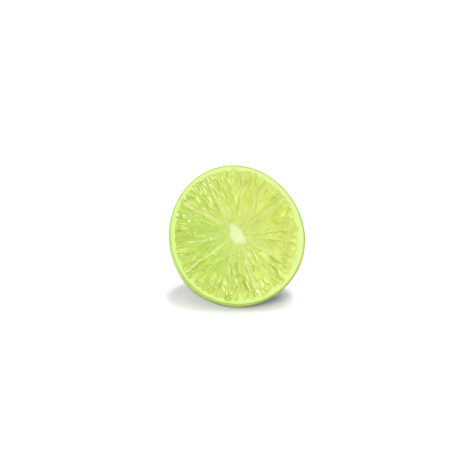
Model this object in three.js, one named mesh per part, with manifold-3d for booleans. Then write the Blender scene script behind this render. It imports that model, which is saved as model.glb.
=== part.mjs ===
// Half a lime, cut across just above its widest girth, in millimetres with +Z up.
//
// The half that keeps the blossom end and its nipple lies back on the side of its dome, so that the
// cut face looks forward (-Y) and up. The fruit grew as one piece, so it is one solid: peel, pith,
// core, segment walls and juice sacs are fused. The origin is the middle of the small flat spot that
// it rests on.
//
// Everything is first made in the fruit's own frame: the cut face lies in the plane z = 0 and looks
// along +z, +y is the upper edge of the face once the half lies back, and the dome hangs below z = 0.

import * as THREE from "three";
import { mergeVertices } from "three/addons/utils/BufferGeometryUtils.js";
import Module from "manifold-3d";

const wasm = await Module();
wasm.setup();

// The dome.
const FACE_RADIUS = 27.5; // mean radius of the cut face
const GIRTH_DEPTH = 5; // the widest girth lies this far behind the cut
const SHOULDER = 33; // from the girth to the blossom end, leaving the nipple out
const FULLNESS = 2.2; // exponent of the profile: 2 is an ellipse, more is fuller
const OUT_OF_ROUND = 0.0245; // share by which the long way across beats the mean
const LONG_WAY = 108; // direction of the long way across the face, in degrees
const LOBING = 0.009; // share of the faint three-sided lobing of the girth
const LOBING_TURN = 59; // where the first lobe stands, in degrees
const SWELLING = 0.11; // height of each of the gentle waves that run over the skin
const SWELLING_WAVES = [
  // waves round the fruit, and their turn in radians: for each millimetre down the dome, and at the cut
  { around: 4, down: 0.21, start: 0 },
  { around: 3, down: -0.28, start: 2 },
  { around: 1, down: -0.4, start: 0 },
];
const CALM_UNDERSIDE = [0.3, 1.1]; // the waves fade out this near the resting side, in radians

// The nipple at the blossom end, with the ring-shaped furrow round it.
const NIPPLE_HEIGHT = 3.6;
const NIPPLE_RADIUS = 4.6;
const NIPPLE_STEEPNESS = 2.4;
const NIPPLE_LEAN = 0.8; // sideways shift of the nipple's tip
const FURROW_DEPTH = 0.5;
const FURROW_RADIUS = 8;
const FURROW_WIDTH = 3;

// The cut face: peel and pith round a bed that holds the flesh.
const PEEL = 2.1; // peel and pith together, where the face cuts them
const PEEL_SHIFT = 0.3; // the pith is this much thicker on the right than the mean
const RIM_ROUND = 0.45; // rounding of the skin's cut edge
const FLESH_BED = 0.8; // depth of the bed

const WALL_ANGLES = [2, 34, 61, 85, 111, 150, 186, 216, 252, 287, 326]; // the eleven segment walls
const WALL_THICKNESS = 0.55;
const WALL_FLARE = 0.55; // extra half thickness where a wall joins the core and the pith
const WALL_BEND = 0.5; // how far a wall strays from a straight line
const WALL_RISE = 0.05; // the walls stand this far proud of the face
const WALL_STEPS = 8;

const CORE_CENTRE = [0.1, 0];
const CORE_LENGTH = 8;
const CORE_WIDTH = 5.2;
const CORE_WAIST = 0.14; // share that the two lobes of the core stand out by
const CORE_LOPSIDED = 0.07; // share by which one lobe is the broader
const CORE_TURN = 121; // direction of the core's long way, in degrees
const CORE_RISE = 0.1;
const CORE_EDGE = 0.3; // chamfer round the core
const CORE_SIDES = 20;

// The juice sacs, which lie in rows across each segment with their blunt ends outwards.
const SAC_ROWS = [
  // mean radius of the row's middle, and the length of its sacs
  { radius: 21.4, length: 7.2 },
  { radius: 17.2, length: 8.2 },
  { radius: 12.9, length: 8.0 },
  { radius: 8.9, length: 7.0 },
  { radius: 5.9, length: 4.6 },
];
const SAC_SPACING = 2.6; // from one sac to the next, across the segment
const SAC_STAGGER = 0.4; // share of a spacing by which every second row is closer set
const SAC_WIDTH = 1.36; // width as a share of the spacing, so that neighbours press together
const SAC_HEIGHT = 0.95; // half the thickness of a sac, which swells out of the bed
const SAC_OUTLINE = [
  // along the sac from the core's end to the peel's, and half its width, both as shares
  [-1, 0],
  [-0.5, 0.58],
  [0.2, 1],
  [0.78, 0.8],
  [1, 0],
];
const SAC_SIDES = 6;
const SAC_BITE = 0.8; // how far the outermost sacs run into the pith
const SAC_LIFT = 0.1; // how far the tallest sacs stand proud of the face, and the lowest lie under it
const VARY_WIDTH = 0.1; // the sacs differ by up to these shares and amounts, either way
const VARY_LENGTH = 0.1;
const VARY_ACROSS = 0.15;
const VARY_RADIUS = 0.75;
const VARY_TURN = 0.05;
const SEED = 20;

// How it lies.
const LEAN_BACK = 22; // the face leans back this far from upright, in degrees
const RESTING_DEPTH = 0.75; // how deep the resting spot is flattened

// How finely it is made.
const SKIN_SIDES = 60;
const SKIN_RINGS = 16; // from the rim to the foot of the nipple
const NIPPLE_RINGS = 7;
const PROFILE_STEPS = 900; // steps in which the lowest point of the dome is looked for
const BURIED = 0.6; // how far fused pieces are sunk into what they grow from

const radians = THREE.MathUtils.degToRad;
const { lerp, smoothstep } = THREE.MathUtils;

// A small seeded generator (mulberry32), so that the sacs always grow the same way.
function randomFrom(seed) {
  let state = seed;
  return () => {
    state = (state + 0x6d2b79f5) | 0;
    let mixed = Math.imul(state ^ (state >>> 15), 1 | state);
    mixed = (mixed + Math.imul(mixed ^ (mixed >>> 7), 61 | mixed)) ^ mixed;
    return ((mixed ^ (mixed >>> 14)) >>> 0) / 4294967296;
  };
}

// The fruit isn't quite round: the radius in direction phi, as a share of the mean.
function roundness(phi) {
  const oval = OUT_OF_ROUND * Math.cos(2 * (phi - radians(LONG_WAY)));
  const lobes = LOBING * Math.cos(3 * phi + radians(LOBING_TURN));
  return 1 + oval + lobes;
}

// A superellipse from the rim (turn = rimTurn) to the blossom end (turn = 0), about the girth.
const power = 2 / FULLNESS;
const rimTurn = Math.acos(-Math.pow(GIRTH_DEPTH / SHOULDER, 1 / power));
const girthRadius = FACE_RADIUS / Math.pow(Math.sin(rimTurn), power);

function bodyPoint(turn) {
  const along = Math.cos(turn);
  const depth = GIRTH_DEPTH + SHOULDER * Math.sign(along) * Math.pow(Math.abs(along), power);
  const radius = girthRadius * Math.pow(Math.sin(turn), power);
  return new THREE.Vector2(radius, -depth - nippleLift(radius));
}

// The turn at which the profile has this radius, on its way to the blossom end.
function turnAt(radius) {
  return Math.asin(Math.pow(radius / girthRadius, 1 / power));
}

// How much further the dome reaches at this radius because of the nipple and its furrow.
function nippleLift(radius) {
  const nipple = NIPPLE_HEIGHT * Math.exp(-Math.pow(radius / NIPPLE_RADIUS, NIPPLE_STEEPNESS));
  const furrow = FURROW_DEPTH * Math.exp(-Math.pow((radius - FURROW_RADIUS) / FURROW_WIDTH, 2));
  return nipple - furrow;
}

// Gentle swellings of the skin, which leave the cut rim, the nipple and the underside alone.
function swelling(phi, depth) {
  let waves = 0;
  for (const { around, down, start } of SWELLING_WAVES) {
    waves += Math.cos(around * phi + down * depth + start);
  }
  const share = THREE.MathUtils.clamp(depth / (SHOULDER + GIRTH_DEPTH), 0, 1);
  const fromUnderside = Math.acos(Math.cos(phi + Math.PI / 2));
  return SWELLING * waves * Math.sin(Math.PI * share) * smoothstep(fromUnderside, ...CALM_UNDERSIDE);
}

// A closed mesh as a solid for joining and cutting.
function solid(geometry) {
  const bare = geometry.clone();
  bare.deleteAttribute("normal");
  bare.deleteAttribute("uv");
  const merged = mergeVertices(bare, 1e-4);
  return new wasm.Manifold(
    new wasm.Mesh({
      numProp: 3,
      vertProperties: new Float32Array(merged.attributes.position.array),
      triVerts: new Uint32Array(merged.index.array),
    }),
  );
}

// The peel and all that it holds, turned about the fruit's axis, with the bed for the juice sacs.
function makeBody() {
  const bedRadius = FACE_RADIUS - PEEL;
  const profile = [
    new THREE.Vector2(0, -FLESH_BED),
    new THREE.Vector2(bedRadius, -FLESH_BED),
    new THREE.Vector2(bedRadius, 0),
    new THREE.Vector2(FACE_RADIUS - RIM_ROUND, 0),
    new THREE.Vector2(FACE_RADIUS, -RIM_ROUND),
  ];
  const footRadius = FURROW_RADIUS + FURROW_WIDTH;
  for (let ring = 1; ring < SKIN_RINGS; ring++) {
    profile.push(bodyPoint(lerp(rimTurn, turnAt(footRadius), ring / SKIN_RINGS)));
  }
  for (let ring = 0; ring <= NIPPLE_RINGS; ring++) {
    profile.push(bodyPoint(turnAt(footRadius * (1 - ring / NIPPLE_RINGS))));
  }
  const geometry = new THREE.LatheGeometry(profile.reverse(), SKIN_SIDES);
  geometry.rotateX(Math.PI / 2);

  const position = geometry.attributes.position;
  const tipDepth = GIRTH_DEPTH + SHOULDER + NIPPLE_HEIGHT;
  for (let i = 0; i < position.count; i++) {
    const x = position.getX(i);
    const y = position.getY(i);
    const depth = -position.getZ(i);
    const radius = Math.hypot(x, y);
    const phi = Math.atan2(y, x);
    const stretch = roundness(phi) + swelling(phi, depth) / FACE_RADIUS;
    const onBed = depth < GIRTH_DEPTH && radius < bedRadius + RIM_ROUND;
    const pithShift = onBed ? (PEEL_SHIFT * radius) / bedRadius : 0;
    const nippleShift = NIPPLE_LEAN * smoothstep(depth, SHOULDER, tipDepth);
    position.setX(i, x * stretch - pithShift);
    position.setY(i, y * stretch - nippleShift);
  }
  return solid(geometry);
}

// One segment wall: a thin upright sheet from the core to the pith that flares at both ends.
function makeWall(angle, bend) {
  const direction = radians(angle);
  const along = new THREE.Vector2(Math.cos(direction), Math.sin(direction));
  const across = new THREE.Vector2(-along.y, along.x);
  const core = new THREE.Vector2(...CORE_CENTRE);
  const reach = (FACE_RADIUS - PEEL) * roundness(direction) + BURIED;
  const left = [];
  const right = [];
  for (let i = 0; i <= WALL_STEPS; i++) {
    const share = i / WALL_STEPS;
    const flare = WALL_FLARE * (Math.pow(1 - share, 6) + Math.pow(share, 14));
    const half = WALL_THICKNESS / 2 + flare;
    const stray = bend * WALL_BEND * Math.sin(Math.PI * share) * Math.sin(2 + 3 * share);
    const middle = along.clone().multiplyScalar(reach * share);
    middle.addScaledVector(core, 1 - share); // the walls fan out from the core's middle
    left.push(middle.clone().addScaledVector(across, stray + half));
    right.push(middle.clone().addScaledVector(across, stray - half));
  }
  const geometry = new THREE.ExtrudeGeometry(new THREE.Shape([...right, ...left.reverse()]), {
    depth: BURIED + FLESH_BED + WALL_RISE,
    bevelEnabled: false,
  });
  geometry.translate(0, 0, -FLESH_BED - BURIED);
  return solid(geometry);
}

// The pale core: two lobes run together, with a chamfered edge.
function makeCore() {
  const outline = [];
  for (let i = 0; i < CORE_SIDES; i++) {
    const turn = (2 * Math.PI * i) / CORE_SIDES;
    const lobe = 1 + CORE_WAIST * Math.cos(2 * turn) + CORE_LOPSIDED * Math.cos(3 * turn + 1);
    const x = (CORE_LENGTH / 2) * lobe * Math.cos(turn);
    const y = (CORE_WIDTH / 2) * lobe * Math.sin(turn);
    outline.push(new THREE.Vector2(x, y));
  }
  const geometry = new THREE.ExtrudeGeometry(new THREE.Shape(outline), {
    depth: BURIED + FLESH_BED + CORE_RISE - 2 * CORE_EDGE,
    bevelThickness: CORE_EDGE,
    bevelSize: CORE_EDGE,
    bevelOffset: -CORE_EDGE,
    bevelSegments: 1,
  });
  geometry.translate(0, 0, CORE_EDGE - FLESH_BED - BURIED);
  geometry.rotateZ(radians(CORE_TURN));
  geometry.translate(...CORE_CENTRE, 0);
  return solid(geometry);
}

// One juice sac: a spindle along x, blunt at the peel's end (+x) and drawn out at the core's.
function makeSac(length, width) {
  const profile = SAC_OUTLINE.map(([along, wide]) => new THREE.Vector2(wide, (along * length) / 2));
  const geometry = new THREE.LatheGeometry(profile, SAC_SIDES);
  geometry.rotateZ(-Math.PI / 2);
  geometry.scale(1, width / 2, SAC_HEIGHT);
  return geometry;
}

// The sacs of every segment: rows across the segment, with the sacs of one row between the next's.
function makeSacs() {
  const random = randomFrom(SEED);
  const vary = (most) => most * (2 * random() - 1);
  const sacs = [];
  WALL_ANGLES.forEach((from, segment) => {
    const next = WALL_ANGLES[(segment + 1) % WALL_ANGLES.length];
    const to = next > from ? next : next + 360;
    SAC_ROWS.forEach((row, level) => {
      const span = radians(to - from) * row.radius - WALL_THICKNESS;
      const closer = level % 2 ? SAC_STAGGER : 0;
      const count = Math.max(1, Math.round(span / SAC_SPACING + closer - 0.1));
      for (let i = 0; i < count; i++) {
        const width = (span / count) * (SAC_WIDTH + vary(VARY_WIDTH));
        const across = ((i + 0.5) / count - 0.5) * span + vary(VARY_ACROSS);
        const length = row.length * (1 + vary(VARY_LENGTH));
        const direction = radians((from + to) / 2) + across / row.radius;
        const end = (FACE_RADIUS - PEEL) * roundness(direction) + SAC_BITE;
        const radius = (row.radius + vary(VARY_RADIUS)) * roundness(direction);
        const middle = Math.min(radius, end - length / 2);
        const geometry = makeSac(length, width);
        geometry.rotateZ(direction + vary(VARY_TURN));
        const fade = 1 - middle / FACE_RADIUS; // the rows are centred on the core's middle
        geometry.translate(
          CORE_CENTRE[0] * fade + middle * Math.cos(direction),
          CORE_CENTRE[1] * fade + middle * Math.sin(direction),
          vary(SAC_LIFT) - SAC_HEIGHT,
        );
        sacs.push(solid(geometry));
      }
    });
  });
  return sacs;
}

// How far the lowest point of the dome lies below the middle of the face, and how far behind it.
function restingPoint() {
  const lean = radians(LEAN_BACK);
  let lowest = { drop: 0, back: 0 };
  for (let i = 0; i <= PROFILE_STEPS; i++) {
    const point = bodyPoint((rimTurn * i) / PROFILE_STEPS);
    const below = point.x * roundness(-Math.PI / 2);
    const drop = below * Math.cos(lean) - point.y * Math.sin(lean);
    const back = -point.y * Math.cos(lean) - below * Math.sin(lean);
    if (drop > lowest.drop) lowest = { drop, back };
  }
  return lowest;
}

// Lays a thing made in the fruit's frame back, with the resting spot at the origin.
function layBack() {
  const rest = restingPoint();
  return new THREE.Matrix4()
    .makeTranslation(0, -rest.back, rest.drop - RESTING_DEPTH)
    .multiply(new THREE.Matrix4().makeRotationX(radians(90 - LEAN_BACK)));
}

// What lies under the resting spot, in the fruit's frame: it is cut away to leave the spot flat.
function makeFloor() {
  const size = 3 * FACE_RADIUS;
  const floor = new THREE.BoxGeometry(size, size, size);
  floor.translate(0, 0, -size / 2);
  return solid(floor.applyMatrix4(layBack().invert()));
}

// The whole half lime in the fruit's frame, with its resting spot flattened.
function makeLimeHalf() {
  let lime = makeBody();
  WALL_ANGLES.forEach((angle, i) => {
    lime = lime.add(makeWall(angle, i % 2 ? 1 : -1));
  });
  for (const sac of makeSacs()) {
    lime = lime.add(sac);
  }
  return lime.add(makeCore()).subtract(makeFloor());
}

function toGeometry(manifold) {
  const mesh = manifold.getMesh();
  const geometry = new THREE.BufferGeometry();
  geometry.setAttribute("position", new THREE.BufferAttribute(mesh.vertProperties, 3));
  geometry.setIndex(new THREE.BufferAttribute(mesh.triVerts, 1));
  geometry.computeVertexNormals();
  return geometry;
}

const fruit = new THREE.MeshStandardMaterial({ color: 0x7fb52e, roughness: 0.42, metalness: 0 });
const limeHalf = new THREE.Mesh(toGeometry(makeLimeHalf()), fruit);
limeHalf.name = "lime_half";
limeHalf.applyMatrix4(layBack());

const lime = new THREE.Group();
lime.add(limeHalf);

export default lime;
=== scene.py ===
import math
import random

import bpy
import numpy as np
from mathutils import Euler, Matrix, Vector, kdtree


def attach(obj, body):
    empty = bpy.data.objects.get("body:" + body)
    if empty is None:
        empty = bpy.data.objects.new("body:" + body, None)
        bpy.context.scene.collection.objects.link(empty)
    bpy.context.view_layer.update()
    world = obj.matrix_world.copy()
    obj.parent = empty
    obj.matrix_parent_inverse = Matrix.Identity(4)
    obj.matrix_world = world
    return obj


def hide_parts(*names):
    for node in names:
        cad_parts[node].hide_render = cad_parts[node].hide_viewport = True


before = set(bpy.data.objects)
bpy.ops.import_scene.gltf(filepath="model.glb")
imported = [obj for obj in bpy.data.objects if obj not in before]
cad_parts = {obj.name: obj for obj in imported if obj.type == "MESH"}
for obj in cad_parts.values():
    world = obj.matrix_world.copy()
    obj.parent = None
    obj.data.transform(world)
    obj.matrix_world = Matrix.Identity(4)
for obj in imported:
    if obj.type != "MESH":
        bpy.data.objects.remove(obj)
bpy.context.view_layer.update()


# THE PEEL
# A lime's peel is waxy green skin, pitted by oil glands, over a thin pale pith. It grew round the
# flesh in one piece, and the knife shows it edge-on as a ring. Its profile is spun about the
# fruit's axis, then pulled out of round, pitted, and pressed flat where the half lies.
#
# Pieces are shaped in millimetres in the fruit's own frame, and then laid back: the cut is the
# plane z = 0 with the dome below it, and +y is the upper edge of the cut face.

MM = 0.001
FACE_RADIUS = 27.5
GIRTH_DEPTH = 5.0  # the widest girth lies this far behind the cut
SHOULDER = 33.0  # from the girth to the blossom end, leaving the nipple out
FULLNESS = 2.2  # 2 would give an ellipse, and more gives a fuller dome
OUT_OF_ROUND = 0.0245
LONG_WAY = math.radians(108)
LOBING = 0.009
LOBING_TURN = math.radians(59)
SWELLING = 0.11
SWELLING_WAVES = [(4, 0.21, 0.0), (3, -0.28, 2.0), (1, -0.4, 0.0)]  # round, down and start
CALM_UNDERSIDE = (0.3, 1.1)  # radians from the resting side over which the waves set in

NIPPLE_HEIGHT = 3.6
NIPPLE_RADIUS = 4.6
NIPPLE_STEEPNESS = 2.4
NIPPLE_LEAN = 0.8
FURROW_DEPTH = 0.5
FURROW_RADIUS = 8.0
FURROW_WIDTH = 3.0

PEEL = 2.25  # skin and pith together, where the face cuts them
PITH_SHIFT = 0.3  # the pith is this much thicker on the right than the mean
PITH_THINNING = 0.8  # and this much thinner at the bottom, and less so at the top
PITH_UNEVENNESS = 0.4  # how unevenly bottom and top share it
PITH_STEPS = 12
PITH_DIP = 0.04  # the soft pith lies this much lower than the skin's edge
PITH_WAVE = 0.13  # the pith's inner edge is ragged where the sacs press into it
PITH_SCALLOPS = [(19, 0.4), (31, 2.0), (47, 1.0), (61, 4.0)]
PITH_UNDERCUT = 1.3  # the pith runs in this far under the outer ends of the juice sacs
BED_DEPTH = 7.5
RIM_ROUND = 0.28
RIM_TURNS = (0, 25, 50, 75)  # degrees up the round edge between skin and cut
SKIN_STOPS = 1.6 * RIM_ROUND  # this far behind the cut, just short of that edge
CUT_STARTS = 0.5 * RIM_ROUND  # from here up, the round edge counts as cut

LEAN_BACK = math.radians(22)  # the face leans back this far from upright
TURNED_BACK = (math.pi / 2 - LEAN_BACK, 0, 0)
RESTING_DEPTH = 0.75

PROFILE_POINTS = 4000
RESTING_POINTS = 901  # places down the underside among which the lowest is found
SKIN_SIDES = 540
SKIN_STEP = 0.34
JOIN_WITHIN = 0.0004
SLACK = 0.01  # places closer than this count as one
SHARP_EDGE = math.radians(50)
GLAND_SPACING = 1.45
GLAND_JITTER = 0.42  # share of the spacing by which a gland strays
GLAND_RADIUS = (0.34, 0.56)
GLAND_DEPTH = (0.05, 0.13)
GLANDS_START = 0.02  # radians down from the blossom end
GLANDS_FROM_TIP = (0.8, 3.0)  # their pits deepen over this stretch from the nipple's middle
GLANDS_FROM_CUT = (0.3, 1.2)  # and over this one behind the cut
UNDER_SKIN = (0.02, 5.0)  # least and most that a point on the cut counts as under the skin
FAR_FROM_TIP = 50.0
SEED = 20

POWER = 2 / FULLNESS
RIM_TURN = math.acos(-((GIRTH_DEPTH / SHOULDER) ** (1 / POWER)))
GIRTH_RADIUS = FACE_RADIUS / math.sin(RIM_TURN) ** POWER
BED_RADIUS = FACE_RADIUS - PEEL


def skin_profile(turn):
    """Radius of the skin and its depth below the cut, from the blossom end (turn 0) to the rim."""
    along = np.cos(turn)
    radius = GIRTH_RADIUS * np.sin(turn) ** POWER
    depth = GIRTH_DEPTH + SHOULDER * np.sign(along) * np.abs(along) ** POWER
    nipple = NIPPLE_HEIGHT * np.exp(-((radius / NIPPLE_RADIUS) ** NIPPLE_STEEPNESS))
    furrow = FURROW_DEPTH * np.exp(-(((radius - FURROW_RADIUS) / FURROW_WIDTH) ** 2))
    return radius, depth + nipple - furrow


def roundness(phi):
    """The fruit's radius in direction phi, as a share of the mean."""
    return 1 + OUT_OF_ROUND * np.cos(2 * (phi - LONG_WAY)) + LOBING * np.cos(3 * phi + LOBING_TURN)


def pith_thinning(phi):
    """How much further out than usual the flesh reaches in direction phi."""
    lopsided = (1 - PITH_UNEVENNESS * np.sin(phi)) / (1 + PITH_UNEVENNESS)
    return PITH_THINNING * np.sin(phi) ** 2 * lopsided


def smooth(value, low, high):
    """Rises smoothly from 0 to 1 as value goes from low to high."""
    share = np.clip((value - low) / (high - low), 0, 1)
    return share * share * (3 - 2 * share)


def swelling(phi, depth):
    """Gentle waves of the skin, calm at the cut, at the nipple and on the resting side."""
    waves = sum(np.cos(around * phi + down * depth + start) for around, down, start in SWELLING_WAVES)
    share = np.clip(depth / (SHOULDER + GIRTH_DEPTH), 0, 1)
    from_underside = np.arccos(np.cos(phi + math.pi / 2))
    return SWELLING * waves * np.sin(math.pi * share) * smooth(from_underside, *CALM_UNDERSIDE)


def points(piece):
    """The places of a piece's vertices, one row each."""
    flat = np.empty(len(piece.data.vertices) * 3)
    piece.data.vertices.foreach_get("co", flat)
    return flat.reshape(-1, 3)


def set_points(piece, places):
    piece.data.vertices.foreach_set("co", places.astype(np.float32).ravel())
    piece.data.update()


def note(piece, name, values):
    """Notes a number at every vertex, for the material to read."""
    attribute = piece.data.attributes.new(name, "FLOAT", "POINT")
    attribute.data.foreach_set("value", values.astype(np.float32))


def lay_back():
    """From the fruit's frame in millimetres to the part's in metres, resting on the flat spot."""
    radius, depth = skin_profile(np.linspace(0, RIM_TURN, RESTING_POINTS))
    below = radius * roundness(-math.pi / 2)
    drop = below * math.cos(LEAN_BACK) + depth * math.sin(LEAN_BACK)
    back = depth * math.cos(LEAN_BACK) - below * math.sin(LEAN_BACK)
    lowest = drop.argmax()
    middle = Vector((0, -back[lowest], drop[lowest] - RESTING_DEPTH)) * MM
    return Matrix.LocRotScale(middle, Euler(TURNED_BACK), (MM, MM, MM))


LAY_BACK = lay_back()
FACE_MIDDLE = LAY_BACK.translation


def evenly(places, step):
    """Points along a line of places, about a step apart."""
    lengths = np.concatenate([[0], np.cumsum(np.hypot(*np.diff(places, axis=0).T))])
    marks = np.linspace(0, lengths[-1], round(lengths[-1] / step) + 1)
    return np.column_stack([np.interp(marks, lengths, places[:, axis]) for axis in (0, 1)])


def peel_profile():
    """The peel's outline from the blossom end, round the rim and over the pith to the bed's middle."""
    radius, depth = skin_profile(np.linspace(0, RIM_TURN, PROFILE_POINTS))
    skin = evenly(np.column_stack([radius, -depth])[depth > SKIN_STOPS], SKIN_STEP)
    turn = np.radians(RIM_TURNS)
    centre = FACE_RADIUS - RIM_ROUND
    rim = np.column_stack([centre + RIM_ROUND * np.cos(turn), RIM_ROUND * (np.sin(turn) - 1)])
    across = np.linspace(centre, BED_RADIUS, PITH_STEPS)
    pith = np.column_stack([across, -PITH_DIP * smooth(centre - across, 0, PEEL)])
    foot = BED_RADIUS - PITH_UNDERCUT
    brink = [(BED_RADIUS - 0.5, -0.1), (foot + 0.3, -0.5), (foot, -1.2)]
    bed = [(foot, -BED_DEPTH), (0, -BED_DEPTH)]
    return np.concatenate([skin, rim, pith, brink, bed])


def spin_peel():
    """Draws the profile and spins it once round the fruit's axis."""
    profile = peel_profile()
    bpy.ops.object.select_all(action="DESELECT")
    bpy.ops.mesh.primitive_circle_add(vertices=len(profile), radius=1)
    piece = bpy.context.object
    piece.name = "peel"
    places = np.zeros((len(profile), 3))
    places[:, 0] = profile[:, 0]
    places[:, 2] = profile[:, 1]
    set_points(piece, places)
    bpy.ops.object.mode_set(mode="EDIT")
    bpy.ops.mesh.select_mode(type="EDGE")
    bpy.ops.mesh.select_all(action="DESELECT")
    bpy.ops.object.mode_set(mode="OBJECT")
    for edge in piece.data.edges:
        edge.select = set(edge.vertices) == {0, len(profile) - 1}
    bpy.ops.object.mode_set(mode="EDIT")
    bpy.ops.mesh.delete(type="EDGE")
    bpy.ops.object.mode_set(mode="OBJECT")
    turn = piece.modifiers.new("turn", "SCREW")
    turn.steps = turn.render_steps = SKIN_SIDES
    turn.use_merge_vertices = True
    turn.merge_threshold = JOIN_WITHIN
    bpy.ops.object.modifier_apply(modifier="turn")
    bpy.ops.object.mode_set(mode="EDIT")
    bpy.ops.mesh.select_all(action="SELECT")
    bpy.ops.mesh.remove_doubles(threshold=JOIN_WITHIN)
    bpy.ops.mesh.normals_make_consistent(inside=False)
    bpy.ops.object.mode_set(mode="OBJECT")
    return piece


def scatter_glands(draw):
    """The oil glands, in strayed rows down the dome: their places, with each one's reach and depth."""
    radius, depth = skin_profile(np.linspace(GLANDS_START, RIM_TURN, PROFILE_POINTS))
    rows = evenly(np.column_stack([radius, -depth]), GLAND_SPACING)
    stray = GLAND_SPACING * GLAND_JITTER
    places = []
    sizes = []
    for radius, height in rows:
        count = max(1, round(2 * math.pi * radius / GLAND_SPACING))
        start = draw.uniform(0, 2 * math.pi)
        for index in range(count):
            phi = start + 2 * math.pi * index / count + draw.uniform(-stray, stray) / max(radius, 1)
            lower = height + draw.uniform(-stray, stray)
            places.append((radius * math.cos(phi), radius * math.sin(phi), lower))
            sizes.append((draw.uniform(*GLAND_RADIUS), draw.uniform(*GLAND_DEPTH)))
    return places, np.array(sizes)


def nearest(places, to):
    """For each point, which of the places is nearest and how far off it is."""
    tree = kdtree.KDTree(len(places))
    for index, place in enumerate(places):
        tree.insert(place, index)
    tree.balance()
    found = [tree.find(point)[1:] for point in to]
    return np.array([index for index, _ in found]), np.array([distance for _, distance in found])


def shape_peel(piece):
    """Pits the skin, pulls it out of round, leans the nipple and flattens the resting spot."""
    place = points(piece)
    radius = np.hypot(place[:, 0], place[:, 1])
    phi = np.arctan2(place[:, 1], place[:, 0])
    depth = -place[:, 2]
    inside = (radius < BED_RADIUS + SLACK) & (depth < BED_DEPTH + SLACK)
    on_skin = ~inside & (depth > CUT_STARTS)

    normal = np.empty(place.size)
    piece.data.vertices.foreach_get("normal", normal)
    glands, sizes = scatter_glands(random.Random(SEED))
    skin = place[on_skin]
    which, distance = nearest(glands, skin)
    reach, pit = sizes[which].T
    gland = np.exp(-((distance / reach) ** 2))
    fade = smooth(depth[on_skin], *GLANDS_FROM_CUT) * smooth(radius[on_skin], *GLANDS_FROM_TIP)
    place[on_skin] -= (pit * gland * fade)[:, None] * normal.reshape(-1, 3)[on_skin]

    inward = np.where(on_skin, 0, np.clip((FACE_RADIUS - radius) / PEEL, 0, 1))
    scallops = sum(np.sin(count * phi + start) for count, start in PITH_SCALLOPS)
    widening = pith_thinning(phi) * inward + PITH_WAVE * scallops * inward**3
    place[:, :2] *= (1 + widening / BED_RADIUS)[:, None]

    stretch = roundness(phi) + swelling(phi, depth) / FACE_RADIUS
    lean = NIPPLE_LEAN * smooth(depth, SHOULDER, GIRTH_DEPTH + SHOULDER + NIPPLE_HEIGHT)
    place[:, 0] = place[:, 0] * stretch - PITH_SHIFT * inward
    place[:, 1] = place[:, 1] * stretch - lean

    note(piece, "under_skin", np.where(on_skin, 0, np.clip(FACE_RADIUS - radius, *UNDER_SKIN)))
    dots = np.zeros(len(place))
    dots[on_skin] = gland * fade
    note(piece, "gland", dots)
    note(piece, "from_tip", np.where(depth > SHOULDER, radius, FAR_FROM_TIP))
    set_points(piece, place)
    piece.data.transform(LAY_BACK)
    place = points(piece)
    place[:, 2] = np.maximum(place[:, 2], 0)
    set_points(piece, place)


def paint(red, green, blue):
    """A colour as a shader takes it, from the 0 to 255 that a screen shows."""
    shares = [value / 255 for value in (red, green, blue)]
    return (*[s / 12.92 if s < 0.04045 else ((s + 0.055) / 1.055) ** 2.4 for s in shares], 1)


class Wire:
    """Wraps an output of a material's nodes, so that sums and products of wires add Math nodes."""

    def __init__(self, tree, socket=None):
        self.tree = tree
        self.socket = socket

    def node(self, kind, inputs, settings=None, output=0):
        """Adds a node, sets it up, feeds its sockets with values or wires, and gives an output."""
        node = self.tree.nodes.new("ShaderNode" + kind)
        for name, value in (settings or {}).items():
            setattr(node, name, value)
        for name, value in inputs.items():
            if isinstance(value, Wire):
                self.tree.links.new(value.socket, node.inputs[name])
            else:
                node.inputs[name].default_value = value
        return Wire(self.tree, node.outputs[output])

    def math(self, operation, *others):
        inputs = dict(enumerate((self, *others)))
        return self.node("Math", inputs, {"operation": operation})

    def __add__(self, other):
        return self.math("ADD", other)

    def __sub__(self, other):
        return self.math("SUBTRACT", other)

    def __mul__(self, other):
        return self.math("MULTIPLY", other)

    def __rsub__(self, other):
        return self * -1 + other

    __radd__ = __add__
    __rmul__ = __mul__

    def between(self, low, high):
        """Rises smoothly from 0 to 1 as this wire goes from low to high."""
        span = {"Value": self, "From Min": low, "From Max": high}
        return self.node("MapRange", span, {"interpolation_type": "SMOOTHSTEP"})

    def mix(self, none, full):
        """One colour where this wire is 0, another where it's 1."""
        return self.node("Mix", {0: self, 6: none, 7: full}, {"data_type": "RGBA"}, output=2)

    def attribute(self, name):
        return self.node("Attribute", {}, {"attribute_name": name}, output="Fac")

    def fruit(self):
        """Where a point is in the fruit's own frame, in millimetres."""
        seen = self.node("TexCoord", {}, output="Object")
        laid = {"Location": FACE_MIDDLE, "Rotation": TURNED_BACK, "Scale": (MM, MM, MM)}
        return self.node("Mapping", {"Vector": seen, **laid}, {"vector_type": "TEXTURE"})

    def split(self, place):
        """A place's x, y and z, each as a wire of its own."""
        return [self.node("SeparateXYZ", {"Vector": place}, output=axis) for axis in "XYZ"]

    def noise(self, place, scale, detail=2.0, roughness=0.5):
        inputs = {"Vector": place, "Scale": scale, "Detail": detail, "Roughness": roughness}
        return self.node("TexNoise", inputs)

    def bump(self, height, depth, strength=1.0, under=None):
        """A normal that follows a height, which the wire gives as a share of depth in millimetres."""
        inputs = {"Height": height, "Distance": depth * MM, "Strength": strength}
        if under is not None:
            inputs["Normal"] = under
        return self.node("Bump", inputs)


def new_finish(name, fixed):
    """A material with one main shader whose fixed sockets are set, and a wire to build on."""
    material = bpy.data.materials.new(name)
    material.use_nodes = True
    shader = material.node_tree.nodes["Principled BSDF"]
    for socket, value in fixed.items():
        shader.inputs[socket].default_value = value
    return material, shader, Wire(material.node_tree)


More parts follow.
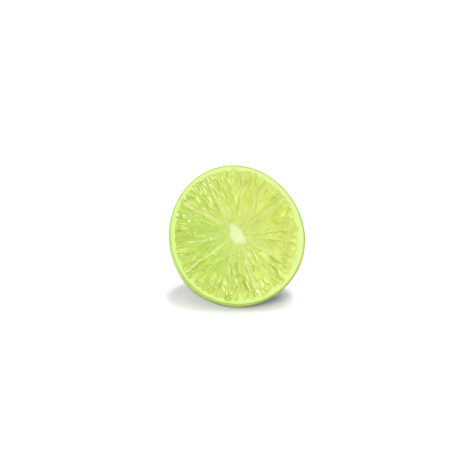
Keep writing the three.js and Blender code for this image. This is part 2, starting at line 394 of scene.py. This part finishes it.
def feed(shader, **wires):
    """Joins wires to the main shader's sockets, whose names take _ for a space."""
    for name, wire in wires.items():
        wire.tree.links.new(wire.socket, shader.inputs[name.replace("_", " ")])


def layered(colour, coats):
    """Lays coats over a colour one by one, each as thick as its wire says."""
    for thickness, coat in coats:
        colour = thickness.mix(colour, coat)
    return colour


def peel_finish():
    fixed = {
        "Subsurface Weight": 0.25,
        "Subsurface Radius": (0.7, 1.0, 0.3),
        "Subsurface Scale": 1.0 * MM,
        "IOR": 1.45,
        "Specular IOR Level": 0.1,
        "Coat Roughness": 0.28,
    }
    material, shader, wire = new_finish("waxy_peel", fixed)
    place = wire.fruit()
    x, y, height = wire.split(place)
    under_skin = wire.attribute("under_skin")
    gland = wire.attribute("gland")
    from_tip = wire.attribute("from_tip")

    broad = wire.noise(place, 0.045, 2).between(0.36, 0.66)
    patches = wire.noise(place, 0.17, 3, 0.6).between(0.35, 0.7)
    cells = wire.node("TexVoronoi", {"Vector": place, "Scale": 1.25}, output="Distance")
    speckle = 1 - cells.between(0.1, 0.5)
    behind_cut = height * -1
    blotches = wire.noise(place, 0.11, 4, 0.6)
    # painted light: the skin is painted lighter and yellower up to about 12 mm behind the cut, for the
    # bounce light that brightens the band of skin beside the cut face
    near_cut = (blotches * 16 - 8 + behind_cut).between(12.0, 0.5)
    right = (x + y * 0.6).between(-28, 26)
    lower = y.between(-7, -19)
    rim = right.mix(paint(134, 168, 46), paint(160, 176, 92))
    rim = (lower * 0.8).mix(rim, paint(140, 155, 46))
    scar = wire.noise(place, 1.6, 3).math("MULTIPLY_ADD", 1.6, from_tip).between(2.5, 1.5)
    green = broad.mix(paint(27, 69, 3), paint(51, 94, 8))
    coats = [
        (patches * 0.45, paint(73, 109, 19)),
        (speckle * 0.22, paint(12, 45, 3)),
        (gland * 0.35, paint(12, 42, 2)),
        # painted light: the lighter, yellower skin behind the cut stands in for bounce light
        (near_cut * 0.8, paint(138, 153, 37)),
        (behind_cut.between(1.3, 0.2) * 0.8, rim),
        (scar * 0.85, paint(76, 56, 22)),
    ]
    skin = layered(green, coats)

    strayed = wire.noise(place, 0.9, 3).math("MULTIPLY_ADD", 0.5, under_skin)
    edge = lower.mix(paint(86, 117, 33), paint(91, 107, 31))
    pith = strayed.between(0.4, 1.2).mix(edge, paint(123, 140, 74))
    pith = (strayed.between(0.9, 1.4) * right * 0.8).mix(pith, paint(128, 138, 88))
    cut = under_skin.between(0.0, UNDER_SKIN[0])

    fine = wire.noise(place, 3.2, 3, 0.6)
    ripple = wire.bump(fine, 0.05, 0.5)
    roughness = wire.noise(place, 0.8, 2) * 0.12 + cut * 0.2 + scar * 0.25 + 0.3
    gloss = (1 - cut) * (0.45 - near_cut * 0.45)
    colour = cut.mix(skin, pith)
    feed(shader, Base_Color=colour, Roughness=roughness, Coat_Weight=gloss, Normal=ripple)
    return material


peel = spin_peel()
shape_peel(peel)
bpy.ops.object.shade_smooth_by_angle(angle=SHARP_EDGE)
peel.data.materials.append(peel_finish())
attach(peel, "root")
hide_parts("lime_half")


# THE FLESH
# Eleven segments are packed with juice sacs: slim, see-through bags that grow inwards from the
# pith with their thin ends to the core. The knife opened them, so that each shows as a wet cell
# with a pale skin round it. Each segment is a block whose top is raised and creased cell by cell.

WALL_ANGLES = [2, 34, 61, 85, 111, 150, 186, 216, 252, 287, 326]
WALL_BEND = 0.5
WALL_WANDER = 0.4
CORE_CENTRE = np.array([0.1, 0.0])
FLESH_REACH = BED_RADIUS + 0.35
FLESH_START = 0.04  # share of the way from the core's middle at which the flesh starts
FLESH_GRID = 0.13
FLESH_DEPTH = BED_DEPTH - 0.3

SAC_ROWS = [(23.4, 4.4), (20.6, 5.2), (17.2, 6.0), (13.6, 6.4), (10.0, 6.2), (7.0, 5.2), (4.4, 4.0)]
SAC_SPACING = 2.3
SAC_CROWDING = (0.5, 0.2)  # sacs more in every other row, and sacs fewer in every row
SAC_ASIDE = 0.22  # share of its own room by which a sac strays sideways
SAC_STRAY = 1.3  # how far it strays from its row, along its length
SAC_TURN = 0.25  # at the pith; the sacs straighten towards the core
SAC_LENGTHS = (0.85, 1.25)  # least and most, as shares of the row's length
SAC_WIDTHS = (0.7, 1.35)  # and of the sac's room
SAC_TAPER = 0.3
TAPER_ENDS = 1.6  # in half lengths from a sac's middle
SAC_SWAY = 0.24  # how far the sacs' outlines wave sideways
SWAY_GROWS = (0.2, 0.7)  # between these shares of the way out
SAC_BULGE = 0.165
SAC_LIFT = 0.08
SAC_TILT = 0.2
LIFT_SHOULDER = 0.5  # a lifted sac comes down to its neighbours over this width
TILT_SHOULDER = 0.45
SUNK_SHARE = 0.08  # share of the sacs that the knife emptied
SUNK_DEPTH = 0.1  # how far those sank
FLATTEST = 0.05  # two sacs' slopes are never taken to differ by less
CREASE_DEPTH = 0.08
CREASE_WIDTH = 0.25
WET_RIPPLE = 0.014  # fine ripples that break up the light on the juice
CALM = (0.15, 0.65)  # the face is smoother towards the core, between these shares of the way out
CALM_RELIEF = 0.4  # share of the relief that is left there
MORE_RELIEF = 0.55  # what comes on top of it further out
SHORE_DEPTH = 0.14  # how far the flesh dips at the pith
SHORE_WIDTH = 0.3
SHORE_CORNERS = 3.0  # the higher, the sharper
PALE_SHORE = 1.0  # width of the paler strip along the walls and the pith
WALL_DIP = 0.25  # share of the dip that is left at the walls and the core
PITH_DIP_GROWS = (0.8, 1.0)
WALL_SLANTS = [1.5, 2.6, -2.4, -3.0, 2.6, -4.2, 1.6, -1.2, 2.4, 3.4, 3.6]  # a + runs on anticlockwise
VEIL_SHOWS = (0.1, 0.4)  # between these shares of the way out
FIBRE_CELLS = (30.0, 0.35)  # to a radian round the core, and to a millimetre on the way out
SAC_TRAITS = ["x", "y", "turn", "half_length", "half_width", "lift", "tilt", "lean", "tint"]


def block(name, across, along):
    """A closed block with a fine grid on top: the piece, its u and v from 0 to 1, and what is top."""
    bpy.ops.object.select_all(action="DESELECT")
    bpy.ops.mesh.primitive_grid_add(x_subdivisions=across, y_subdivisions=along, size=1)
    piece = bpy.context.object
    piece.name = name
    bpy.ops.object.mode_set(mode="EDIT")
    bpy.ops.mesh.select_mode(type="EDGE")
    bpy.ops.mesh.select_all(action="DESELECT")
    bpy.ops.mesh.select_non_manifold(use_wire=False, use_multi_face=False, use_non_contiguous=False)
    bpy.ops.mesh.extrude_edges_move(TRANSFORM_OT_translate={"value": (0, 0, -1)})
    bpy.ops.mesh.edge_face_add()
    bpy.ops.mesh.select_all(action="SELECT")
    bpy.ops.mesh.normals_make_consistent(inside=False)
    bpy.ops.object.mode_set(mode="OBJECT")
    place = points(piece)
    return piece, place[:, 0] + 0.5, place[:, 1] + 0.5, place[:, 2] > -0.5


def bend_of(wall, share):
    """How far a wall strays sideways from a straight line, at a share of the way out."""
    side = 1 if wall % 2 else -1
    wander = side * np.sin(2 + 3 * share) + WALL_WANDER * np.sin(13 * share + 2 * wall)
    return WALL_BEND * wander * np.sin(math.pi * share)


def on_face(direction, share, stray):
    """The place on the cut face in a direction, at a share of the way from the core to the pith."""
    reach = (BED_RADIUS + pith_thinning(direction)) * roundness(direction) * share
    x = CORE_CENTRE[0] * (1 - share) + reach * np.cos(direction) - stray * np.sin(direction)
    y = CORE_CENTRE[1] * (1 - share) + reach * np.sin(direction) + stray * np.cos(direction)
    return x - PITH_SHIFT * share, y


def grow_sacs(low, high, draw):
    """The sacs of the segment between two directions, with the traits of each."""
    sacs = []
    more, less = SAC_CROWDING
    for row, (radius, length) in enumerate(SAC_ROWS):
        span = (high - low) * radius
        count = max(1, round(span / SAC_SPACING + more * (row % 2) - less))
        for index in range(count):
            across = (index + 0.5 + draw.uniform(-SAC_ASIDE, SAC_ASIDE)) / count
            direction = low + (high - low) * across
            share = (radius + draw.uniform(-SAC_STRAY, SAC_STRAY)) / BED_RADIUS
            x, y = on_face(direction, share, 0)
            turn = direction + SAC_TURN * share**1.5 * draw.uniform(-1, 1)
            half_length = length / 2 * draw.uniform(*SAC_LENGTHS)
            half_width = span / count / 2 * draw.uniform(*SAC_WIDTHS)
            sunk = SUNK_DEPTH if draw.random() < SUNK_SHARE else 0
            lift = draw.uniform(-SAC_LIFT, SAC_LIFT) - sunk
            tilt = draw.uniform(-SAC_TILT, SAC_TILT)
            lean = draw.uniform(-SAC_TILT, SAC_TILT)
            tint = draw.random() - 0.5
            sacs.append((x, y, turn, half_length, half_width, lift, tilt, lean, tint))
    return np.array(sacs, dtype=[(trait, float) for trait in SAC_TRAITS])


def swayed(x, y, share):
    """The places on the face with the sideways waves that the sacs' outlines follow."""
    sway = SAC_SWAY * smooth(share, *SWAY_GROWS)
    swayed_x = x + sway * (np.sin(1.3 * y + 0.5 * x) + 0.3 * np.sin(3.3 * y - 1.9 * x + 1))
    swayed_y = y + sway * (np.sin(1.2 * x - 0.6 * y + 2) + 0.3 * np.sin(3.6 * x + 1.7 * y))
    return swayed_x, swayed_y


def nearest_sacs(x, y, sacs):
    """For each point: its own sac, where in it the point lies, and how far off that sac's rim is."""
    dx = x[:, None] - sacs["x"]
    dy = y[:, None] - sacs["y"]
    cos, sin = np.cos(sacs["turn"]), np.sin(sacs["turn"])
    along = (dx * cos + dy * sin) / sacs["half_length"]
    width = sacs["half_width"] * (1 + SAC_TAPER * np.clip(along, -TAPER_ENDS, TAPER_ENDS))
    aside = (dy * cos - dx * sin) / width
    depth = along**2 + aside**2  # 0 in the middle of a sac, 1 at its own outline
    order = np.argpartition(depth, 1, axis=1)[:, :2]
    row = np.arange(len(x))
    swap = depth[row, order[:, 0]] > depth[row, order[:, 1]]
    order[swap] = order[swap][:, ::-1]
    own, other = order.T

    def slope(sac):
        lengthways = along[row, sac] / sacs["half_length"][sac]
        sideways = aside[row, sac] / width[row, sac]
        eastward = lengthways * cos[sac] - sideways * sin[sac]
        northward = lengthways * sin[sac] + sideways * cos[sac]
        return np.array([eastward, northward])

    gap = depth[row, other] - depth[row, own]
    steep = 2 * np.hypot(*(slope(other) - slope(own)))
    rim = gap / np.maximum(steep, FLATTEST)
    return own, along[row, own], aside[row, own], rim


def from_shore(u, share, width):
    """How far the nearest wall, the pith or the core is, rounded off in the corners."""
    to_pith = FLESH_REACH - share * BED_RADIUS
    to_core = (share - FLESH_START) * BED_RADIUS
    ways = [width * u, width * (1 - u), to_pith, to_core]
    return sum(np.maximum(way, SLACK) ** -SHORE_CORNERS for way in ways) ** (-1 / SHORE_CORNERS)


def veil_over(first_wall, next_wall, u, share, width):
    """How much a wall that slants in under the flesh shows through it."""
    veil = np.zeros(len(u))
    if WALL_SLANTS[first_wall] > 0:
        veil += 1 - smooth(width * u, 0, WALL_SLANTS[first_wall])
    if WALL_SLANTS[next_wall] < 0:
        veil += 1 - smooth(width * (1 - u), 0, -WALL_SLANTS[next_wall])
    return veil * smooth(share, *VEIL_SHOWS)


def creased(x, y):
    """How deep the creases between the sacs are from place to place, as a share."""
    return 0.55 + 0.45 * np.sin(1.3 * x + 2.1 * y) * np.sin(1.1 * y - 0.9 * x)


def ripples(x, y):
    """The fine crossing waves on the juice, from -1 to 1."""
    return np.sin(8 * x + 3 * np.sin(2 * y)) * np.sin(7 * y + 2 * np.sin(3 * x))


def shape_segment(index, draw):
    """One segment: a block between two walls, with its sacs raised and creased on top."""
    following = (index + 1) % len(WALL_ANGLES)
    low = math.radians(WALL_ANGLES[index])
    high = math.radians(WALL_ANGLES[following]) + (2 * math.pi if following == 0 else 0)
    across = round((high - low) * FLESH_REACH / FLESH_GRID)
    along = round(FLESH_REACH / FLESH_GRID)
    piece, u, v, top = block(f"flesh_{index + 1:02d}", across, along)
    share = FLESH_START + (FLESH_REACH / BED_RADIUS - FLESH_START) * v
    direction = low + (high - low) * u
    stray = bend_of(index, share) * (1 - u) + bend_of(following, share) * u
    x, y = on_face(direction, share, stray)

    sacs = grow_sacs(low, high, draw)
    own, lengthways, sideways, rim = nearest_sacs(*swayed(x, y, share), sacs)
    sac = sacs[own]
    liveliness = CALM_RELIEF + MORE_RELIEF * smooth(share, *CALM)
    height = sac["lift"] * smooth(rim, 0, LIFT_SHOULDER)
    height += (sac["tilt"] * lengthways + sac["lean"] * sideways) * smooth(rim, 0, TILT_SHOULDER)
    height += SAC_BULGE * (1 - np.clip(lengthways**2 + sideways**2, 0, 1))
    height *= liveliness

    crease = np.exp(-((rim / CREASE_WIDTH) ** 2)) * liveliness
    height -= CREASE_DEPTH * crease * creased(x, y)
    height += WET_RIPPLE * ripples(x, y)
    width = (high - low) * share * BED_RADIUS
    shore = from_shore(u, share, width)
    dip = WALL_DIP + (1 - WALL_DIP) * smooth(share, *PITH_DIP_GROWS)
    height -= SHORE_DEPTH * dip * np.exp(-shore / SHORE_WIDTH)
    set_points(piece, np.column_stack([x, y, np.where(top, height - SAC_BULGE / 2, -FLESH_DEPTH)]))
    note(piece, "crease", crease)
    note(piece, "tint", sac["tint"] * smooth(rim, 0, LIFT_SHOULDER) * liveliness)
    note(piece, "shore", np.exp(-shore / PALE_SHORE))
    note(piece, "veil", veil_over(index, following, u, share, width))
    piece.data.transform(LAY_BACK)
    return piece


def flesh_finish():
    fixed = {
        "Subsurface Weight": 0.6,
        "Subsurface Radius": (1.0, 1.0, 0.4),
        "Subsurface Scale": 0.9 * MM,
        "IOR": 1.36,
        "Specular IOR Level": 0.12,
        "Coat Weight": 0.4,
        "Coat Roughness": 0.1,
    }
    material, shader, wire = new_finish("wet_flesh", fixed)
    place = wire.fruit()
    crease = wire.attribute("crease")
    tint = wire.attribute("tint")
    shore = wire.attribute("shore")

    # the fibres are noise that is drawn out along the way from the core to the pith
    x, y, _ = wire.split(place)
    flat = wire.node("CombineXYZ", {"X": x, "Y": y})
    outwards = wire.node("VectorMath", {0: flat}, {"operation": "NORMALIZE"})
    radius = wire.node("VectorMath", {0: flat}, {"operation": "LENGTH"}, output="Value")
    fanned = wire.node("VectorMath", {0: outwards, "Scale": FIBRE_CELLS[0]}, {"operation": "SCALE"})
    along_ray = wire.node("CombineXYZ", {"Z": radius * FIBRE_CELLS[1]})
    rays = wire.node("VectorMath", {0: fanned, 1: along_ray}, {"operation": "ADD"})
    fibres = wire.noise(rays, 1.0, 3, 0.6)

    left = (x * -0.9 + y * -0.2).between(-18, 22)
    juice = left.mix(paint(116, 125, 34), paint(99, 118, 25))
    inner = radius.between(11, 6)
    near_core = wire.noise(place, 0.42, 2).between(0.5, 0.58) * inner
    pale_near_core = wire.noise(place, 0.6, 2).between(0.5, 0.4) * inner
    upper_right_rim = radius.between(21.5, 26) * (x + y * 0.6).between(-12, 20)
    left_rim = radius.between(19, 25) * (x - y * 0.4).between(2, -22)
    upper_half = (y + x * 0.4).between(4, 13) * radius.between(24, 16)
    left_half = (x + y * 0.4).between(-1, -12) * radius.between(24, 15)
    veil = wire.attribute("veil") * wire.noise(place, 0.25, 2).between(0.34, 0.52)
    coats = [
        # patches that run over several sacs: yellower, greener and paler
        (wire.noise(place, 0.2, 2).between(0.42, 0.62) * 0.65, paint(104, 117, 11)),
        (wire.noise(place, 0.45, 2).between(0.5, 0.7) * 0.4, paint(93, 115, 25)),
        (wire.noise(place, 0.33, 2).between(0.5, 0.66) * 0.45, paint(124, 132, 54)),
        # paler and deeper sacs, their fibres and their skins
        (tint.between(0.0, 0.5) * 0.6, paint(131, 143, 54)),
        (tint.between(0.0, -0.45) * 0.6, paint(87, 105, 14)),
        (fibres.between(0.5, 0.75) * 0.35, paint(121, 130, 59)),
        (crease * 0.5, paint(120, 129, 54)),
        # the middle, and the strips along the pith and the walls
        (radius.between(9, 2) * 0.4, paint(112, 126, 43)),
        (near_core * 0.5, paint(103, 121, 20)),
        (pale_near_core * 0.4, paint(123, 134, 59)),
        (shore * 0.3, paint(117, 129, 51)),
        (upper_right_rim * 0.45, paint(128, 140, 59)),
        (left_rim * 0.3, paint(90, 109, 18)),
        # the broad drift over the whole face, and the walls that show through
        (upper_half * 0.3, paint(122, 132, 40)),
        (left_half * 0.45, paint(98, 123, 22)),
        (veil * 0.9, paint(121, 127, 63)),
    ]
    body = layered(juice, coats)

    grain = wire.noise(place, 2.6, 3, 0.6)
    ripple = wire.bump(fibres, 0.05, 0.6, wire.bump(grain, 0.04, 0.5))
    roughness = wire.noise(place, 1.1, 2) * 0.2 + crease * 0.1 + 0.35
    feed(shader, Base_Color=body, Roughness=roughness, Normal=ripple)
    return material


wet_flesh = flesh_finish()
sac_draw = random.Random(SEED + 1)
for segment in range(len(WALL_ANGLES)):
    flesh = shape_segment(segment, sac_draw)
    bpy.ops.object.shade_smooth()
    flesh.data.materials.append(wet_flesh)
    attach(flesh, "root")


# THE SEGMENT WALLS
# A thin, tough, pale skin parts each segment from the next. The walls grow out of the core and
# widen into the pith, and the knife left their edges standing a hair proud of the flesh.

WALL_THICKNESS = 0.36
WALL_PALENESS = [0.1, 0.2, 0.2, 0.45, 0.3, 0.2, 0.15, 1.0, 0.8, 0.35, 0.15]
WALL_BREADTHS = (0.8, 0.8)  # share of that thickness, and what full paleness adds to it
WALL_WAVER = 0.2
WALL_FLARES = (0.15, 0.75)  # extra half width at the core and at the pith
FLARE_POWERS = (7, 16)  # the higher, the nearer to the end a flare keeps
WALL_CROWN = 0.06
WALL_SIDES = 0.1  # how far the crown's own edges turn down
WALL_TOP = -0.14  # height of a wall that hardly shows
WALL_RISE = 0.14  # how much higher the palest one stands
WALL_WORN = 0.05
WALL_END = (BED_RADIUS + 0.5) / BED_RADIUS
WALL_SINKS = (0.4, 0.5)  # how far it runs down into the core and into the pith
CORE_SINK = (0.05, 0.13)  # over these shares of the way out
PITH_SINK = (0.985, WALL_END)
WALL_GRID = (8, 150)


def shape_wall(index):
    """One wall: a thin block that follows its bent line and flares at both ends."""
    piece, u, v, top = block(f"wall_{index + 1:02d}", *WALL_GRID)
    direction = math.radians(WALL_ANGLES[index])
    paleness = WALL_PALENESS[index]
    share = v * WALL_END
    aside = 2 * u - 1
    at_core, at_pith = FLARE_POWERS
    flare = WALL_FLARES[0] * (1 - v) ** at_core + WALL_FLARES[1] * v**at_pith
    breadth = WALL_BREADTHS[0] + WALL_BREADTHS[1] * paleness
    waver = 1 + WALL_WAVER * np.sin(9 * v + index) * np.sin(23 * v + 2 * index)
    half = WALL_THICKNESS / 2 * breadth * waver + flare
    x, y = on_face(np.full(len(u), direction), share, bend_of(index, share) + aside * half)

    worn = WALL_WORN * np.sin(13 * v + 2 * index) * np.sin(29 * v + index)
    crest = WALL_TOP + WALL_RISE * paleness + worn
    height = crest + WALL_CROWN * (1 - aside**2) - WALL_SIDES * aside**6
    into_core = WALL_SINKS[0] * (1 - smooth(share, *CORE_SINK))
    into_pith = WALL_SINKS[1] * smooth(share, *PITH_SINK)
    height -= into_core + into_pith
    set_points(piece, np.column_stack([x, y, np.where(top, height, -FLESH_DEPTH)]))
    note(piece, "outwards", v)
    note(piece, "pale", np.full(len(v), paleness))
    piece.data.transform(LAY_BACK)
    return piece


def wall_finish():
    fixed = {
        "Subsurface Weight": 0.5,
        "Subsurface Radius": (1.0, 1.0, 0.5),
        "Subsurface Scale": 0.8 * MM,
        "IOR": 1.4,
        "Specular IOR Level": 0.15,
        "Coat Weight": 0.12,
        "Coat Roughness": 0.15,
    }
    material, shader, wire = new_finish("pale_membrane", fixed)
    place = wire.fruit()
    outwards = wire.attribute("outwards")
    worn = wire.noise(place, 0.35, 2).between(0.35, 0.65)
    fading = outwards.between(0.95, 0.6) * 0.5 + 0.5
    shown = (worn * 0.7 + 0.3) * wire.attribute("pale") * fading
    coats = [
        (shown, paint(140, 150, 88)),
        (outwards.between(0.88, 1.0) * 0.8, paint(115, 135, 58)),
        (outwards.between(0.25, 0.05) * 0.35, paint(125, 138, 66)),
    ]
    colour = layered(paint(108, 123, 36), coats)
    ripple = wire.bump(wire.noise(place, 3.5, 3), 0.04, 0.5)
    feed(shader, Base_Color=colour, Roughness=worn * 0.1 + 0.35, Normal=ripple)
    return material


pale_membrane = wall_finish()
for number in range(len(WALL_ANGLES)):
    wall = shape_wall(number)
    bpy.ops.object.shade_smooth()
    wall.data.materials.append(pale_membrane)
    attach(wall, "root")


# THE CORE
# The middle of the fruit is a soft white string of pith that all the walls grow out of. Cut
# across, it is a small spongy patch of two lobes run together.

CORE_LENGTH = 10.3
CORE_WIDTH = 8.2
CORE_WAIST = 0.13
CORE_LOPSIDED = 0.08
CORE_RAGGED = 0.07
CORE_TURN = math.radians(118)
CORE_CROWN = 0.3
CORE_SUNK = 0.16  # its edge lies this far below the cut
CORE_GRID = 90


def shape_core():
    """A block whose square top is rounded into the two-lobed patch."""
    piece, u, v, top = block("core", CORE_GRID, CORE_GRID)
    across, along = 2 * u - 1, 2 * v - 1
    disc_x = across * np.sqrt(1 - along**2 / 2)
    disc_y = along * np.sqrt(1 - across**2 / 2)
    radius = np.hypot(disc_x, disc_y)
    turn = np.arctan2(disc_y, disc_x)
    lobe = 1 + CORE_WAIST * np.cos(2 * turn) + CORE_LOPSIDED * np.cos(3 * turn + 1)
    notches = 0.06 * np.sin(11 * turn) * np.sin(7 * turn + 1) + 0.03 * np.sin(19 * turn + 2)
    outline = lobe * (1 + CORE_RAGGED * np.sin(5 * turn + 2) + notches)
    x = CORE_LENGTH / 2 * outline * disc_x
    y = CORE_WIDTH / 2 * outline * disc_y
    sponge = 0.03 * np.sin(5.1 * x + 1) * np.sin(4.7 * y) + 0.02 * np.sin(9.3 * x + 8.1 * y)
    height = CORE_CROWN * (1 - radius**3) - CORE_SUNK + sponge * (1 - radius**2)
    cos, sin = math.cos(CORE_TURN), math.sin(CORE_TURN)
    places = [CORE_CENTRE[0] + x * cos - y * sin, CORE_CENTRE[1] + x * sin + y * cos]
    set_points(piece, np.column_stack([*places, np.where(top, height, -FLESH_DEPTH)]))
    note(piece, "from_middle", radius)
    piece.data.transform(LAY_BACK)
    return piece


def core_finish():
    fixed = {
        "Subsurface Weight": 0.5,
        "Subsurface Radius": (1.0, 1.0, 0.6),
        "Subsurface Scale": 0.8 * MM,
        "IOR": 1.35,
        "Specular IOR Level": 0.2,
    }
    material, shader, wire = new_finish("spongy_core", fixed)
    place = wire.fruit()
    strayed = wire.noise(place, 1.4, 3).math("MULTIPLY_ADD", 0.5, wire.attribute("from_middle"))
    pores = wire.noise(place, 4.0, 4, 0.7)
    coats = [
        (strayed.between(0.75, 1.25), paint(108, 122, 48)),
        (pores.between(0.55, 0.35) * 0.35, paint(122, 133, 79)),
    ]
    colour = layered(paint(133, 141, 102), coats)
    feed(shader, Base_Color=colour, Roughness=pores * 0.2 + 0.5, Normal=wire.bump(pores, 0.08, 0.5))
    return material


core = shape_core()
bpy.ops.object.shade_smooth()
core.data.materials.append(core_finish())
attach(core, "root")


# THE STUDIO
# The half lies on a plain white table. Most of the light comes low from the front left, with soft
# light in front, two high lamps that press a small dark shadow under the fruit, and a faint lamp
# behind.

CAMERA_AROUND = math.radians(-4)
CAMERA_ABOVE = math.radians(12.5)
CAMERA_LENS = 100
SENSOR_WIDTH = 36
VIEW_WIDTH = 181.5 * MM  # how much the picture takes in at the cut face
AIM_LEFT = 3.2 * MM
AIM_UP = 2.3 * MM
TABLE_SIZE = 20.0  # metres, so that its edges are never seen
SKY = 0.022

bpy.ops.object.select_all(action="DESELECT")
bpy.ops.mesh.primitive_plane_add(size=TABLE_SIZE)
table = bpy.context.object
table.name = "table"
white, _, _ = new_finish("white_table", {"Base Color": (0.9, 0.9, 0.9, 1), "Roughness": 0.8})
table.data.materials.append(white)

world = bpy.data.worlds.new("studio")
bpy.context.scene.world = world
world.use_nodes = True
world.node_tree.nodes["Background"].inputs["Color"].default_value = (1, 1, 1, 1)
world.node_tree.nodes["Background"].inputs["Strength"].default_value = SKY


def direction_from(around, above):
    """Where something stands, seen from the fruit: turned round to the right, and above the table."""
    level = math.cos(above)
    return Vector((math.sin(around) * level, -math.cos(around) * level, math.sin(above)))


LAMPS = [
    # name, degrees round to the right and above the table, breadth in degrees, strength
    ("key", -25, 14, 12, 4.45),
    ("side", -45, 18, 25, 2.0),
    ("fill", 10, 25, 45, 3.05),
    ("high", 10, 68, 12, 1.7),
    ("high_right", 45, 73, 24, 1.0),
    ("back", 180, 45, 40, 0.25),
]
for name, around, above, breadth, strength in LAMPS:
    towards_lamp = direction_from(math.radians(around), math.radians(above))
    bpy.ops.object.light_add(type="SUN", location=towards_lamp)
    lamp = bpy.context.object
    lamp.name = name
    lamp.data.angle = math.radians(breadth)
    lamp.data.energy = strength
    lamp.rotation_euler = towards_lamp.to_track_quat("Z", "Y").to_euler()

towards_camera = direction_from(CAMERA_AROUND, CAMERA_ABOVE)
look = (-towards_camera).to_track_quat("-Z", "Y")
camera_data = bpy.data.cameras.new("camera")
camera_data.lens = CAMERA_LENS
camera_data.sensor_width = SENSOR_WIDTH
camera = bpy.data.objects.new("camera", camera_data)
bpy.context.scene.collection.objects.link(camera)
aim = FACE_MIDDLE + look @ Vector((-AIM_LEFT, AIM_UP, 0))
camera.location = aim + towards_camera * (VIEW_WIDTH * CAMERA_LENS / SENSOR_WIDTH)
camera.rotation_mode = "QUATERNION"
camera.rotation_quaternion = look
bpy.context.scene.camera = camera
bpy.context.scene.view_settings.view_transform = "Standard"
